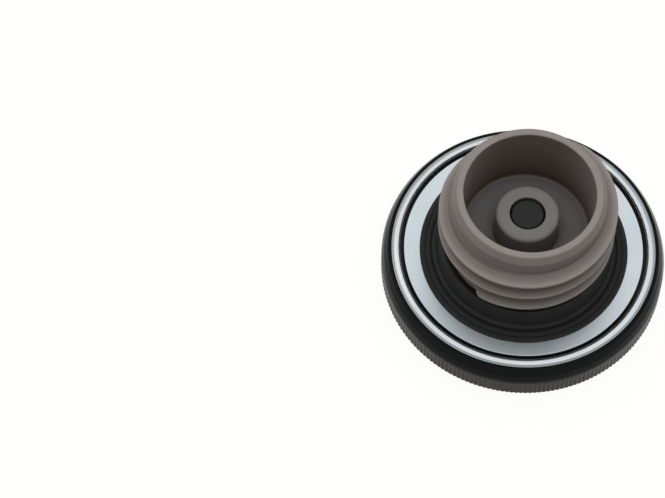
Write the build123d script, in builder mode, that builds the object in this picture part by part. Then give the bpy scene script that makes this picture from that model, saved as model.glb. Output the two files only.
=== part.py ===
from build123d import *
from math import cos, radians, sin
import os

# Screw-in fuel filler cap with a ratcheting cover and a two-way vent valve.
#
# The cap stands upside down on the outer face of its cover, with the threaded neck pointing up.
# Units are millimetres. The origin is the centre of the cover's outer face, and +Z runs along the
# cap's axis towards the mouth of the neck, which is the end that goes into the tank.

os.makedirs("parts", exist_ok=True)

# ---------------------------------------------------------------- driving dimensions

# Edges that are small everywhere
fine_round = 0.15              # sheet and soft edges
mould_round = 0.3              # edges of the moulded pieces
cut_margin = 1.0               # how far a cutting profile reaches past what it cuts
angle_margin = 2.0             # the same in degrees

# Pressed steel cover
cover_sheet = 1.2              # wall of the pressing
face_border_width = 4.3        # edge of the outer face's raised disc to the knurl's crests
face_step = 0.3                # how far the disc stands out from the border round it
border_fall = 0.2              # slope of that border towards the knurl
border_margin = 0.9            # border's edge to the knurl's crests, in radius
knurl_start = 1.2              # height at which the crests begin
knurl_margin = 1.0             # knurl's end to the shoulder's outer corner
knurl_count = 192
knurl_depth = 0.35
crest_sliver = 0.01            # the crests' points lie this much outside, so each crest stays whole
knurl_chamfer = 0.4            # the knurl's end bevels, deeper than its grooves
lip_reach = 2.7                # bore of the rolled lip to the knurl's crests, in radius
lip_height = 3.1               # depth of the lip's bore
lip_width = 0.8                # flat top of the lip before it rounds down to the shoulder
lip_bevel = 0.8                # height over which the wall leads into the lip's bore
shoulder_drop = 2.3            # lip to the shoulder's outer corner
press_round = 0.3              # bend radius inside the pressing
face_edge_round = 0.8

# Zinc-plated retaining ring pressed into the lip
ring_sheet = 0.7
ring_fit = 0.05                # radial gap to the lip
ring_stand_out = 0.1           # the ring's flange lies this much above the lip
ring_width = 2.68              # lip's bore to the bead's inner wall
ring_bead_width = 1.9
ring_bead_slope = 0.5          # width of the slope from the bead's crest to the flange
ring_bead_rise = 0.55          # bead crest above its outer flange
ring_skirt = 2.2               # depth of the outer skirt
ring_depth = 2.7               # depth of the inner wall, flange to foot

# Ratchet ring that turns with the cover
ratchet_floor = 1.0
ratchet_height = 5.3
ratchet_fit = 0.05             # radial gap to the cover's wall
ratchet_floor_margin = 1.0     # floor's bore to the pawl plate's bore, in radius
ratchet_lead = 0.5             # bevel that clears the bend inside the pressing
tooth_count = 36
ratchet_wall = 1.75            # behind the teeth's roots
tooth_depth = 1.7

# Curved spring washer under the pawl plate
washer_margin = 0.3            # washer's edge to the holes for the screws' heads
washer_width = 2.5
washer_sheet = 0.3
washer_room = 1.3              # height that is left for the washer
washer_clearance = 0.25        # between the washer's raised ends and the pawl plate

# Pawl plate that turns with the neck
plate_height = 3.6
plate_bore_margin = 0.3        # plate's bore to the washer's bore, in radius
pawl_count = 4
pawl_arm_thickness = 1.7
pawl_arm_clearance = 0.85      # arm to the tips of the teeth
pawl_slot = 1.75               # width of the slot between an arm and the plate's rim
pawl_arm_sweep = 58.0          # degrees from the root to the tip
pawl_root_width = 9.0          # degrees of plate that carry an arm
pawl_drop = 0.4                # the arms lie this much below the neck's flange
pawl_gap = 0.3                 # pawl tip to the tooth it rests in
pawl_tip_length = 0.6          # length of the tip as a share of a tooth
pawl_tip_taper = 3.0           # degrees over which the tip blends into its arm
pawl_arm_overlap = 4.0         # degrees of arm behind its root's end, and short of its tip
pawl_root_bite = 1.0           # how far the root reaches into the plate's rim
pawl_root_flare = 2.0          # degrees by which the root widens towards the arm
screw_hole_clearance = 0.25    # radial gaps in the pawl plate
screw_head_clearance = 0.4

# Neck, moulded in one piece
neck_flange_clearance = 0.7    # flange to the lip's bore
neck_flange_thickness = 1.9
neck_step_margin = 0.52        # the flange plate overhangs its seat by this much
neck_step_height = 4.2         # underside of the flange to that seat
neck_step_wall = 2.4           # wall round the hollow under the flange
neck_web = 2.2                 # thickness over that hollow
neck_core_diameter = 43.8      # thread root
barrel_wall = 3.3              # thread root to the hollow underside of the neck
pilot_step = 0.5               # thread root to the pilot, in radius
pilot_length = 6.525
pilot_land = 4.325             # mouth to the foot of the pilot's straight part, above the thread
pilot_draft = 0.15             # the pilot widens by this radius from there down to its foot
mouth_wall = 3.1
mouth_bevel_width = 1.2        # lead-in bevel round the mouth
mouth_bevel_height = 2.4
mouth_bevel_round = 0.6        # where the bevel meets the mouth's flat rim
mouth_bore_round = 0.4
cup_draft = 0.45               # the cup narrows by this radius down to its floor
cup_depth = 22.025
cup_floor = 2.4
boss_diameter = 17.8           # at its top
boss_draft = 0.25              # the boss widens by this radius down to the cup's floor
boss_height = 10.1
boss_bore_diameter = 10.0
seat_depth = 2.55              # boss top to the valve seat
chamber_diameter = 13.2
chamber_wall = 2.0
chamber_length = 20.75         # valve seat to the open lower end
edge_round = 1.0               # boss top and cup floor
boss_foot_round = 0.5
pilot_taper = 1.6              # height over which the core narrows to the pilot
pilot_round = 1.5
web_round = 0.5                # inside corners of the hollow under the flange

# Thread on the neck
thread_depth = 2.9
thread_pitch = 6.35
thread_crest_width = 0.8
thread_upper_flank = 1.5       # height of the flank that faces the mouth
thread_lower_flank = 1.9       # height of the flank that faces the cover
thread_crest_round = 0.45
thread_bury = 0.3              # how far the flanks run on below the core's surface
thread_gap = 1.45              # gasket's collar to the foot of the first turn
thread_end_drop = 6.8          # mouth to the end of the last crest
thread_start_angle = -132.0
thread_end_angle = 48.0
thread_full_turns = 2
start_cut_angle = 11.0         # degrees over which the first turn is cut away
end_cut_angle = 34.0           # degrees over which the last turn runs out
end_cut_bow = 3.0              # how far that cut clears the crest at its middle

# Flange plate, slip ring and gasket
slip_ring_thickness = 0.5
slip_ring_fit = 0.1            # radial gap to the foot of the step
slip_ring_clearance = 0.2      # to the retaining ring
spigot_wall = 3.1              # spigot that centres the flange plate, outside the thread root
flange_plate_width = 8.82
flange_plate_gap = 1.0         # open ring between the flange plate and the bead
flange_plate_thickness = 1.0
flange_plate_fit = 0.1
gasket_width = 7.5
gasket_fit = 0.1               # radial gap to the neck
gasket_land_height = 0.6
gasket_land_width = 1.4
gasket_edge_round = 0.35
groove_width = 0.3             # fine groove inside the land
groove_depth = 0.4
lip_slope = 0.3                # width of the sealing lip's outer slope
sealing_lip_width = 0.8
sealing_lip_rise = 0.5         # above the land
valley_width = 0.8             # between the lip and the collar's foot
valley_drop = 0.1              # below the land
collar_foot_width = 0.8
collar_foot_rise = 0.8         # above the land
collar_height = 6.3            # above the flange plate
collar_width = 1.6             # at its top

# Screws
screw_count = 4
screw_margin = 3.9             # screws' centres to the pawl plate's rim
screw_diameter = 2.9
screw_head_diameter = 5.0
screw_head_height = 1.6
screw_length = 4.6             # below the head
screw_counterbore_depth = 1.9
screw_boss_diameter = 6.4
screw_fit = 0.05               # radial gap in the neck's boss
screw_end_gap = 0.2            # hole left past the screw's end
screw_head_round = 0.4
recess_span = 3.0              # cross recess in the head
recess_width = 0.7
recess_depth = 0.8

# Vent valve
disc_thickness = 1.2
disc_clearance = 0.4           # to the chamber's wall
disc_hub_diameter = 5.2
disc_hub_length = 3.4
seal_thickness = 1.0
seal_inner_diameter = 7.2
seal_margin = 0.1              # seal edge to disc edge
vent_hole_diameter = 1.0
vent_hole_margin = 0.05        # hole to the hub it runs along
vent_hole_count = 4
poppet_head_diameter = 9.2
poppet_head_height = 2.1
poppet_round = 0.5
stem_diameter = 2.7
stem_length = 9.4
stem_fit = 0.08
clip_thickness = 0.5
clip_diameter = 6.0
clip_groove_depth = 0.4
clip_end_margin = 0.6          # clip to the end of the stem
clip_mouth = 1.7
vacuum_wire = 0.4
vacuum_pitch = 1.05
pressure_wire = 0.8
pressure_pitch = 2.4
spring_hub_clearance = 0.8     # pressure spring to the retainer's hub
vacuum_spring_clearance = 0.5  # vacuum spring to the poppet's stem
retainer_thickness = 1.0
retainer_plug_height = 2.8
retainer_fit = 0.05
retainer_hub_diameter = 8.4
retainer_hub_height = 1.6
retainer_hole_diameter = 1.6
retainer_hole_circle_diameter = 4.8
retainer_hole_count = 6

# ---------------------------------------------------------------- places worked out from them

# Radii from the thread's root outwards to the knurl
core_r = neck_core_diameter / 2
crest_r = core_r + thread_depth
gasket_inner_r = core_r + gasket_fit
gasket_r = gasket_inner_r + gasket_width
spigot_r = core_r + spigot_wall
flange_plate_bore_r = spigot_r + flange_plate_fit
flange_plate_r = flange_plate_bore_r + flange_plate_width
neck_step_r = flange_plate_r - neck_step_margin
neck_pocket_r = neck_step_r - neck_step_wall
ring_inner_r = flange_plate_r + flange_plate_gap
cover_mouth_r = ring_inner_r + ring_width
ring_outer_r = cover_mouth_r - ring_fit
neck_flange_r = cover_mouth_r - neck_flange_clearance
cover_r = cover_mouth_r + lip_reach
border_r = cover_r - border_margin
face_flat_r = cover_r - face_border_width

# Radii from the cover's wall inwards to the ratchet's bore
cover_bore_r = cover_r - knurl_chamfer - cover_sheet
ratchet_outer_r = cover_bore_r - ratchet_fit
tooth_root_r = ratchet_outer_r - ratchet_wall
tooth_tip_r = tooth_root_r - tooth_depth
arm_outer_r = tooth_tip_r - pawl_arm_clearance
arm_inner_r = arm_outer_r - pawl_arm_thickness
plate_rim_r = arm_inner_r - pawl_slot
screw_circle_r = plate_rim_r - screw_margin
screw_counterbore_r = screw_head_diameter / 2 + screw_head_clearance
washer_r = screw_circle_r - screw_counterbore_r - washer_margin
washer_inner_r = washer_r - washer_width
plate_bore_r = washer_inner_r - plate_bore_margin
ratchet_floor_bore_r = plate_bore_r - ratchet_floor_margin

# Radii from the thread's root inwards to the valve
pilot_r = core_r - pilot_step
mouth_bore_r = pilot_r - mouth_wall
cup_bottom_r = mouth_bore_r - cup_draft
neck_bore_below_r = core_r - barrel_wall
chamber_outer_r = chamber_diameter / 2 + chamber_wall

# Heights from the cover's outer face upwards
washer_bottom = cover_sheet + ratchet_floor
plate_bottom = washer_bottom + washer_room
neck_base = plate_bottom + plate_height
flange_top = neck_base + neck_flange_thickness
slip_ring_top = flange_top + slip_ring_thickness
ring_foot = slip_ring_top + slip_ring_clearance
ring_flange_top = ring_foot + ring_depth
cover_height = ring_flange_top - ring_stand_out
ring_crest = ring_flange_top + ring_bead_rise
step_top = neck_base + neck_step_height
plate_top = step_top + flange_plate_thickness
collar_top = plate_top + collar_height
half_crest = thread_crest_width / 2
thread_start = collar_top + thread_gap + thread_lower_flank + half_crest
thread_turns = thread_full_turns + (thread_end_angle - thread_start_angle) / 360
thread_end = thread_start + thread_pitch * thread_turns
mouth_top = thread_end + thread_end_drop
cup_bottom = mouth_top - cup_depth
boss_top = cup_bottom + boss_height
boss_r = boss_diameter / 2
seat_height = boss_top - seat_depth
chamber_end = seat_height - chamber_length
pilot_foot = mouth_top - pilot_length


# A cylinder or box that stands on its place, or hangs from it
upwards = (Align.CENTER, Align.CENTER, Align.MIN)
downwards = (Align.CENTER, Align.CENTER, Align.MAX)


def at_angle(radius, degrees):
    """Point on the XY plane at a radius and an angle about the cap's axis."""
    return (radius * cos(radians(degrees)), radius * sin(radians(degrees)))


def outline(*corners):
    """Closed outline of (radius, height, rounding) corners, ready to be turned about Z."""
    with BuildSketch(Plane.XZ) as profile:
        with BuildLine():
            points = [(radius, height) for radius, height, rounding in corners]
            roundings = [rounding for radius, height, rounding in corners]
            FilletPolyline(points, radius=roundings, close=True)
        make_face()
    return profile.sketch


# ---------------------------------------------------------------- cover

shoulder_corner = cover_height - shoulder_drop
shoulder_foot = shoulder_corner - knurl_margin

with BuildPart() as cover:
    revolve(
        outline(
            (0, 0, 0),
            (face_flat_r, 0, face_edge_round),
            (face_flat_r + 2 * face_step, face_step, 2 * face_step),
            (border_r, face_step + border_fall, fine_round),
            (border_r, knurl_start - knurl_chamfer, 0),
            (cover_r - knurl_chamfer, knurl_start - knurl_chamfer, 0),
            (cover_r, knurl_start, 0),
            (cover_r, shoulder_foot - knurl_chamfer, 0),
            (cover_r - knurl_chamfer, shoulder_foot, 0),
            (cover_r - knurl_chamfer, shoulder_corner, cover_sheet),
            (cover_mouth_r + lip_width, cover_height, 0.9 * lip_width),
            (cover_mouth_r, cover_height, fine_round),
            (cover_mouth_r, cover_height - lip_height, press_round),
            (cover_bore_r, cover_height - lip_height - lip_bevel, press_round),
            (cover_bore_r, cover_sheet, press_round),
            (0, cover_sheet, 0),
        ),
        axis=Axis.Z,
    )
    # V-grooves between the ribs of the knurl
    with BuildSketch(Plane.XY.offset(knurl_start - knurl_chamfer)):
        Circle(cover_r + cut_margin)
        with BuildLine():
            rib_angle = 360 / knurl_count
            crests_and_grooves = []
            for rib in range(knurl_count):
                crests_and_grooves.append(at_angle(cover_r + crest_sliver, rib * rib_angle))
                crests_and_grooves.append(at_angle(cover_r - knurl_depth, (rib + 0.5) * rib_angle))
            Polyline(crests_and_grooves, close=True)
        make_face(mode=Mode.SUBTRACT)
    extrude(amount=shoulder_foot - knurl_start + knurl_chamfer, mode=Mode.SUBTRACT)
cover.part.label = "cover"
export_step(cover.part, "parts/cover.step")

# ---------------------------------------------------------------- retaining ring

bead_outer_r = ring_inner_r + ring_bead_width
bead_round = (ring_bead_width - ring_bead_slope) * 0.64

with BuildPart() as retaining_ring:
    revolve(
        outline(
            (ring_inner_r, ring_foot, fine_round),
            (ring_inner_r, ring_crest, bead_round),
            (bead_outer_r - ring_bead_slope, ring_crest, ring_bead_rise),
            (bead_outer_r, ring_flange_top, mould_round),
            (ring_outer_r, ring_flange_top, mould_round),
            (ring_outer_r, ring_flange_top - ring_skirt, fine_round),
            (ring_outer_r - ring_sheet, ring_flange_top - ring_skirt, fine_round),
            (ring_outer_r - ring_sheet, ring_flange_top - ring_sheet, fine_round),
            (ring_inner_r + ring_sheet, ring_flange_top - ring_sheet, fine_round),
            (ring_inner_r + ring_sheet, ring_foot, fine_round),
        ),
        axis=Axis.Z,
    )
retaining_ring.part.label = "retaining_ring"
export_step(retaining_ring.part, "parts/retaining_ring.step")

# ---------------------------------------------------------------- ratchet ring

tooth_angle = 360 / tooth_count

with BuildPart() as ratchet_ring:
    with BuildSketch(Plane.XY.offset(cover_sheet)):
        Circle(ratchet_outer_r)
        Circle(ratchet_floor_bore_r, mode=Mode.SUBTRACT)
    extrude(amount=ratchet_floor)
    # One-way teeth: a slow ramp outwards, then a radial locking face
    with BuildSketch(Plane.XY.offset(cover_sheet)):
        Circle(ratchet_outer_r)
        with BuildLine():
            tooth_line = []
            for tooth in range(tooth_count):
                tooth_line.append(at_angle(tooth_tip_r, tooth * tooth_angle))
                tooth_line.append(at_angle(tooth_root_r, (tooth + 1) * tooth_angle))
            Polyline(tooth_line, close=True)
        make_face(mode=Mode.SUBTRACT)
    extrude(amount=ratchet_height)
    lower_edges = ratchet_ring.edges().filter_by(GeomType.CIRCLE).group_by(Axis.Z)[0]
    chamfer(lower_edges.sort_by(SortBy.RADIUS)[-1], ratchet_lead)
ratchet_ring.part.label = "ratchet_ring"
export_step(ratchet_ring.part, "parts/ratchet_ring.step")

# ---------------------------------------------------------------- spring washer

washer_rise = washer_room - washer_sheet - washer_clearance

with BuildPart() as spring_washer:
    # The sheet is bowed across X, and the washer's ring is cut out of it
    with BuildSketch(Plane.XZ):
        with BuildLine():
            low = washer_bottom
            bowed = ThreePointArc((-washer_r, low + washer_rise), (0, low), (washer_r, low + washer_rise))
            Line(bowed @ 1, bowed @ 1 + (0, washer_sheet))
            top = washer_bottom + washer_sheet
            above = ThreePointArc((washer_r, top + washer_rise), (0, top), (-washer_r, top + washer_rise))
            Line(above @ 1, bowed @ 0)
        make_face()
    extrude(amount=washer_r, both=True)
    with BuildSketch(Plane.XY.offset(washer_bottom - cut_margin)):
        Circle(washer_r)
        Circle(washer_inner_r, mode=Mode.SUBTRACT)
    extrude(amount=washer_room + 2 * cut_margin, mode=Mode.INTERSECT)
spring_washer.part.label = "spring_washer"
export_step(spring_washer.part, "parts/spring_washer.step")

# ---------------------------------------------------------------- pawl plate

arm_r = (arm_inner_r + arm_outer_r) / 2
arm_height = plate_height - pawl_drop
ramp_per_degree = tooth_depth / tooth_angle
# The pawl's locking face lies just short of a tooth's radial face
locking_angle = -pawl_gap / radians(1) / tooth_root_r

# One pawl: a root block on the plate's rim, a curved arm, and a tip that rests in a tooth
root_start = -pawl_arm_sweep - pawl_root_width
root_inner_r = plate_rim_r - pawl_root_bite
tip_back = -pawl_tip_length * tooth_angle
tip_r = tooth_root_r - pawl_gap

with BuildSketch() as pawl:
    Polygon(
        at_angle(root_inner_r, root_start),
        at_angle(arm_outer_r, root_start + pawl_root_flare),
        at_angle(arm_outer_r, root_start + pawl_root_width),
        at_angle(root_inner_r, root_start + pawl_root_width - pawl_root_flare),
        align=None,
    )
    SlotArc(
        CenterArc(
            (0, 0), arm_r, -pawl_arm_sweep - pawl_arm_overlap, pawl_arm_sweep, mode=Mode.PRIVATE
        ),
        pawl_arm_thickness,
    )
    Polygon(
        at_angle(arm_inner_r, locking_angle),
        at_angle(tip_r, locking_angle),
        at_angle(tip_r + tip_back * ramp_per_degree, tip_back),
        at_angle(arm_r, tip_back - pawl_tip_taper),
        at_angle(arm_inner_r, tip_back - pawl_tip_taper),
        align=None,
    )

with BuildPart() as pawl_plate:
    with BuildSketch(Plane.XY.offset(plate_bottom)):
        Circle(plate_rim_r)
        Circle(plate_bore_r, mode=Mode.SUBTRACT)
    extrude(amount=plate_height)
    with BuildSketch(Plane.XY.offset(plate_bottom)):
        with PolarLocations(0, pawl_count):
            add(pawl.sketch)
    extrude(amount=arm_height)
    with Locations(Plane.XY.offset(plate_bottom)):
        with PolarLocations(screw_circle_r, screw_count, start_angle=180 / screw_count):
            Cylinder(
                screw_diameter / 2 + screw_hole_clearance, plate_height, align=upwards, mode=Mode.SUBTRACT
            )
            Cylinder(
                screw_counterbore_r, screw_counterbore_depth, align=upwards, mode=Mode.SUBTRACT
            )
pawl_plate.part.label = "pawl_plate"
export_step(pawl_plate.part, "parts/pawl_plate.step")

# ---------------------------------------------------------------- neck

thread_end_turn = (thread_end_angle - thread_start_angle) % 360
flank_foot_r = core_r - thread_bury
foot_r = pilot_r - thread_bury

# Barrel and thread are made with the thread's start on the X axis, and turned to place together
with BuildPart() as thread:
    with BuildLine(Plane.XY.offset(thread_start)) as thread_path:
        Helix(thread_pitch, thread_pitch * thread_turns, foot_r)
    helix = thread_path.line
    with BuildSketch(Plane(origin=helix @ 0, x_dir=(1, 0, 0), z_dir=-(helix % 0))):
        with BuildLine():
            FilletPolyline(
                (0, -half_crest - thread_lower_flank),
                (flank_foot_r - foot_r, -half_crest - thread_lower_flank),
                (crest_r - foot_r, -half_crest),
                (crest_r - foot_r, half_crest),
                (flank_foot_r - foot_r, half_crest + thread_upper_flank),
                (0, half_crest + thread_upper_flank),
                radius=[0, 0, thread_crest_round, thread_crest_round, 0, 0],
                close=True,
            )
        make_face()
    sweep(path=helix, is_frenet=True)
    # The first turn ends in a slanted face, and the last one runs out.
    # Each cut stops at the height where the neighbouring turn's foot begins.
    with BuildSketch(Plane.XY.offset(thread_start - thread_pitch)):
        with BuildLine():
            Polyline(
                at_angle(foot_r - cut_margin, -angle_margin),
                at_angle(crest_r + cut_margin, start_cut_angle),
                at_angle(crest_r + end_cut_bow, -angle_margin),
                close=True,
            )
        make_face()
    extrude(amount=2 * thread_pitch - half_crest - thread_lower_flank, mode=Mode.SUBTRACT)
    with BuildSketch(Plane.XY.offset(thread_end - thread_pitch + half_crest + thread_upper_flank)):
        with BuildLine():
            Polyline(
                at_angle(foot_r - cut_margin / 2, thread_end_turn + angle_margin),
                at_angle(crest_r + cut_margin / 2, thread_end_turn - end_cut_angle),
                at_angle(crest_r + 2 * end_cut_bow, thread_end_turn - end_cut_angle / 2),
                at_angle(crest_r + end_cut_bow, thread_end_turn + angle_margin),
                close=True,
            )
        make_face()
    extrude(amount=2 * thread_pitch, mode=Mode.SUBTRACT)

with BuildPart() as threaded_barrel:
    revolve(
        outline(
            (neck_pocket_r, neck_base, fine_round),
            (neck_flange_r, neck_base, mould_round),
            (neck_flange_r, flange_top, mould_round),
            (neck_step_r, flange_top, mould_round),
            (neck_step_r, step_top, mould_round),
            (spigot_r, step_top, 0),
            (spigot_r, plate_top, fine_round),
            (core_r, plate_top, mould_round),
            (core_r, pilot_foot - pilot_taper, pilot_round),
            (pilot_r + pilot_draft, pilot_foot, pilot_round),
            (pilot_r, mouth_top - pilot_land, 0),
            (pilot_r, mouth_top - mouth_bevel_height, mould_round),
            (pilot_r - mouth_bevel_width, mouth_top, mouth_bevel_round),
            (mouth_bore_r, mouth_top, mouth_bore_round),
            (cup_bottom_r, cup_bottom, edge_round),
            (boss_r + boss_draft, cup_bottom, boss_foot_round),
            (boss_r, boss_top, edge_round),
            (boss_bore_diameter / 2, boss_top, mould_round),
            (boss_bore_diameter / 2, seat_height, 0),
            (chamber_diameter / 2, seat_height, 0),
            (chamber_diameter / 2, chamber_end, fine_round),
            (chamber_outer_r, chamber_end, fine_round),
            (chamber_outer_r, cup_bottom - cup_floor, edge_round),
            (neck_bore_below_r, cup_bottom - cup_floor, edge_round),
            (neck_bore_below_r, step_top - neck_web, web_round),
            (neck_pocket_r, step_top - neck_web, web_round),
        ),
        axis=Axis.Z,
    )
    add(thread.part)

with BuildPart() as neck:
    add(threaded_barrel.part, rotation=(0, 0, thread_start_angle))
    # Bosses that take the pawl plate's screws
    with BuildSketch(Plane.XY.offset(neck_base)):
        with PolarLocations(screw_circle_r, screw_count, start_angle=180 / screw_count):
            Circle(screw_boss_diameter / 2)
    extrude(amount=neck_step_height - neck_web)
    screw_hole_depth = screw_length + screw_end_gap - (plate_height - screw_counterbore_depth)
    with BuildSketch(Plane.XY.offset(neck_base)):
        with PolarLocations(screw_circle_r, screw_count, start_angle=180 / screw_count):
            Circle(screw_diameter / 2 + screw_fit)
    extrude(amount=screw_hole_depth, mode=Mode.SUBTRACT)
neck.part.label = "neck"
export_step(neck.part, "parts/neck.step")

# ---------------------------------------------------------------- screws

head_seat = plate_bottom + screw_counterbore_depth

with BuildPart() as screws:
    with Locations(Plane.XY.offset(head_seat)):
        with PolarLocations(screw_circle_r, screw_count, start_angle=180 / screw_count):
            Cylinder(screw_diameter / 2, screw_length, align=upwards)
            Cylinder(screw_head_diameter / 2, screw_head_height, align=downwards)
    fillet(screws.faces().sort_by(Axis.Z)[:screw_count].edges(), screw_head_round)
    with Locations(Plane.XY.offset(head_seat - screw_head_height)):
        with PolarLocations(screw_circle_r, screw_count, start_angle=180 / screw_count):
            for turn in (0, 90):
                Box(
                    recess_span, recess_width, recess_depth, rotation=(0, 0, turn),
                    align=upwards, mode=Mode.SUBTRACT,
                )
screws.part.label = "screws"
export_step(screws.part, "parts/screws.step")

# ---------------------------------------------------------------- slip ring

slip_inner_r = neck_step_r + mould_round + slip_ring_fit
slip_outer_r = neck_flange_r - mould_round

with BuildPart() as slip_ring:
    revolve(
        outline(
            (slip_inner_r, flange_top, 0),
            (slip_outer_r, flange_top, 0),
            (slip_outer_r, slip_ring_top, fine_round),
            (slip_inner_r, slip_ring_top, fine_round),
        ),
        axis=Axis.Z,
    )
slip_ring.part.label = "slip_ring"
export_step(slip_ring.part, "parts/slip_ring.step")

# ---------------------------------------------------------------- flange plate

with BuildPart() as flange_plate:
    revolve(
        outline(
            (flange_plate_bore_r, step_top, 0),
            (flange_plate_r, step_top, mould_round),
            (flange_plate_r, plate_top, mould_round),
            (flange_plate_bore_r, plate_top, 0),
        ),
        axis=Axis.Z,
    )
flange_plate.part.label = "flange_plate"
export_step(flange_plate.part, "parts/flange_plate.step")

# ---------------------------------------------------------------- gasket

land_top = plate_top + gasket_land_height
land_inner_r = gasket_r - gasket_land_width
groove_r = land_inner_r - groove_width
lip_outer_r = groove_r - lip_slope
lip_inner_r = lip_outer_r - sealing_lip_width
valley_r = lip_inner_r - valley_width
collar_foot_r = valley_r - collar_foot_width
lip_top = land_top + sealing_lip_rise

with BuildPart() as gasket:
    revolve(
        outline(
            (gasket_inner_r, plate_top, mould_round + gasket_fit),
            (gasket_r, plate_top, 0),
            (gasket_r, land_top, gasket_edge_round),
            (land_inner_r, land_top, fine_round),
            (groove_r, land_top - groove_depth, fine_round),
            (lip_outer_r, lip_top, fine_round),
            (lip_inner_r, lip_top, mould_round),
            (valley_r, land_top - valley_drop, mould_round),
            (collar_foot_r, land_top + collar_foot_rise, mould_round),
            (gasket_inner_r + collar_width, collar_top, 0.4 * collar_width),
            (gasket_inner_r, collar_top, mould_round),
        ),
        axis=Axis.Z,
    )
gasket.part.label = "gasket"
export_step(gasket.part, "parts/gasket.step")

# ---------------------------------------------------------------- valve: disc and seal

seal_top = seat_height
disc_top = seal_top - seal_thickness
disc_bottom = disc_top - disc_thickness
disc_r = chamber_diameter / 2 - disc_clearance
stem_bore_r = stem_diameter / 2 + stem_fit
hub_bottom = disc_bottom - disc_hub_length + disc_thickness
spigot_top = disc_top + seal_thickness / 2
vent_circle_r = disc_hub_diameter / 2 + vent_hole_diameter / 2 + vent_hole_margin

with BuildPart() as pressure_disc:
    revolve(
        outline(
            (stem_bore_r, hub_bottom, 0),
            (disc_hub_diameter / 2, hub_bottom, 0),
            (disc_hub_diameter / 2, disc_bottom, 0),
            (disc_r, disc_bottom, fine_round),
            (disc_r, disc_top, 0),
            (disc_hub_diameter / 2, disc_top, 0),
            (disc_hub_diameter / 2, spigot_top, fine_round),
            (stem_bore_r, spigot_top, 0),
        ),
        axis=Axis.Z,
    )
    with BuildSketch(Plane.XY.offset(disc_bottom)):
        with PolarLocations(vent_circle_r, vent_hole_count):
            Circle(vent_hole_diameter / 2)
    extrude(amount=disc_thickness, mode=Mode.SUBTRACT)
pressure_disc.part.label = "pressure_disc"
export_step(pressure_disc.part, "parts/pressure_disc.step")

with BuildPart() as valve_seal:
    revolve(
        outline(
            (seal_inner_diameter / 2, disc_top, 0),
            (disc_r - seal_margin, disc_top, 0),
            (disc_r - seal_margin, seal_top, fine_round),
            (seal_inner_diameter / 2, seal_top, fine_round),
        ),
        axis=Axis.Z,
    )
valve_seal.part.label = "valve_seal"
export_step(valve_seal.part, "parts/valve_seal.step")

# ---------------------------------------------------------------- valve: poppet and clip

poppet_r = poppet_head_diameter / 2
stem_r = stem_diameter / 2
stem_end = seal_top - stem_length
clip_bottom = stem_end + clip_end_margin
clip_groove_r = stem_r - clip_groove_depth

with BuildPart() as vacuum_poppet:
    revolve(
        outline(
            (0, stem_end, 0),
            (stem_r, stem_end, mould_round),
            (stem_r, clip_bottom, 0),
            (clip_groove_r, clip_bottom, 0),
            (clip_groove_r, clip_bottom + clip_thickness, 0),
            (stem_r, clip_bottom + clip_thickness, 0),
            (stem_r, seal_top, 0),
            (poppet_r, seal_top, 0),
            (poppet_r, seal_top + poppet_head_height, poppet_round),
            (0, seal_top + poppet_head_height, 0),
        ),
        axis=Axis.Z,
    )
vacuum_poppet.part.label = "vacuum_poppet"
export_step(vacuum_poppet.part, "parts/vacuum_poppet.step")

with BuildPart() as stem_clip:
    with BuildSketch(Plane.XY.offset(clip_bottom)):
        Circle(clip_diameter / 2)
        Circle(clip_groove_r, mode=Mode.SUBTRACT)
        with Locations((clip_diameter / 2, 0)):
            Rectangle(clip_diameter, clip_mouth, mode=Mode.SUBTRACT)
    extrude(amount=clip_thickness)
stem_clip.part.label = "stem_clip"
export_step(stem_clip.part, "parts/stem_clip.step")

# ---------------------------------------------------------------- spring retainer

retainer_top = chamber_end + retainer_plug_height

with BuildPart() as spring_retainer:
    revolve(
        outline(
            (0, chamber_end - retainer_thickness, 0),
            (chamber_outer_r, chamber_end - retainer_thickness, mould_round),
            (chamber_outer_r, chamber_end, fine_round),
            (chamber_diameter / 2 - retainer_fit, chamber_end, 0),
            (chamber_diameter / 2 - retainer_fit, retainer_top, mould_round),
            (retainer_hub_diameter / 2, retainer_top, fine_round),
            (retainer_hub_diameter / 2, retainer_top + retainer_hub_height, mould_round),
            (0, retainer_top + retainer_hub_height, 0),
        ),
        axis=Axis.Z,
    )
    with BuildSketch(Plane.XY.offset(chamber_end - retainer_thickness)):
        with PolarLocations(retainer_hole_circle_diameter / 2, retainer_hole_count):
            Circle(retainer_hole_diameter / 2)
    extrude(until=Until.LAST, mode=Mode.SUBTRACT)
spring_retainer.part.label = "spring_retainer"
export_step(spring_retainer.part, "parts/spring_retainer.step")

# ---------------------------------------------------------------- springs


def coil(bottom, top, mean_radius, wire, pitch):
    """Compression spring of round wire, with its ends ground flat to lie on two flat seats."""
    with BuildPart() as spring:
        with BuildLine(Plane.XY.offset(bottom)) as wire_path:
            Helix(pitch, top - bottom, mean_radius)
        centre_line = wire_path.line
        with BuildSketch(Plane(origin=centre_line @ 0, z_dir=centre_line % 0)):
            Circle(wire / 2)
        sweep(path=centre_line, is_frenet=True)
        split(bisect_by=Plane.XY.offset(bottom), keep=Keep.TOP)
        split(bisect_by=Plane.XY.offset(top), keep=Keep.BOTTOM)
    return spring


pressure_spring_r = retainer_hub_diameter / 2 + spring_hub_clearance + pressure_wire / 2
pressure_spring = coil(retainer_top, disc_bottom, pressure_spring_r, pressure_wire, pressure_pitch)
pressure_spring.part.label = "pressure_spring"
export_step(pressure_spring.part, "parts/pressure_spring.step")

vacuum_spring_r = stem_r + vacuum_spring_clearance + vacuum_wire / 2
vacuum_spring = coil(
    clip_bottom + clip_thickness, hub_bottom, vacuum_spring_r, vacuum_wire, vacuum_pitch
)
vacuum_spring.part.label = "vacuum_spring"
export_step(vacuum_spring.part, "parts/vacuum_spring.step")
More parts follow.
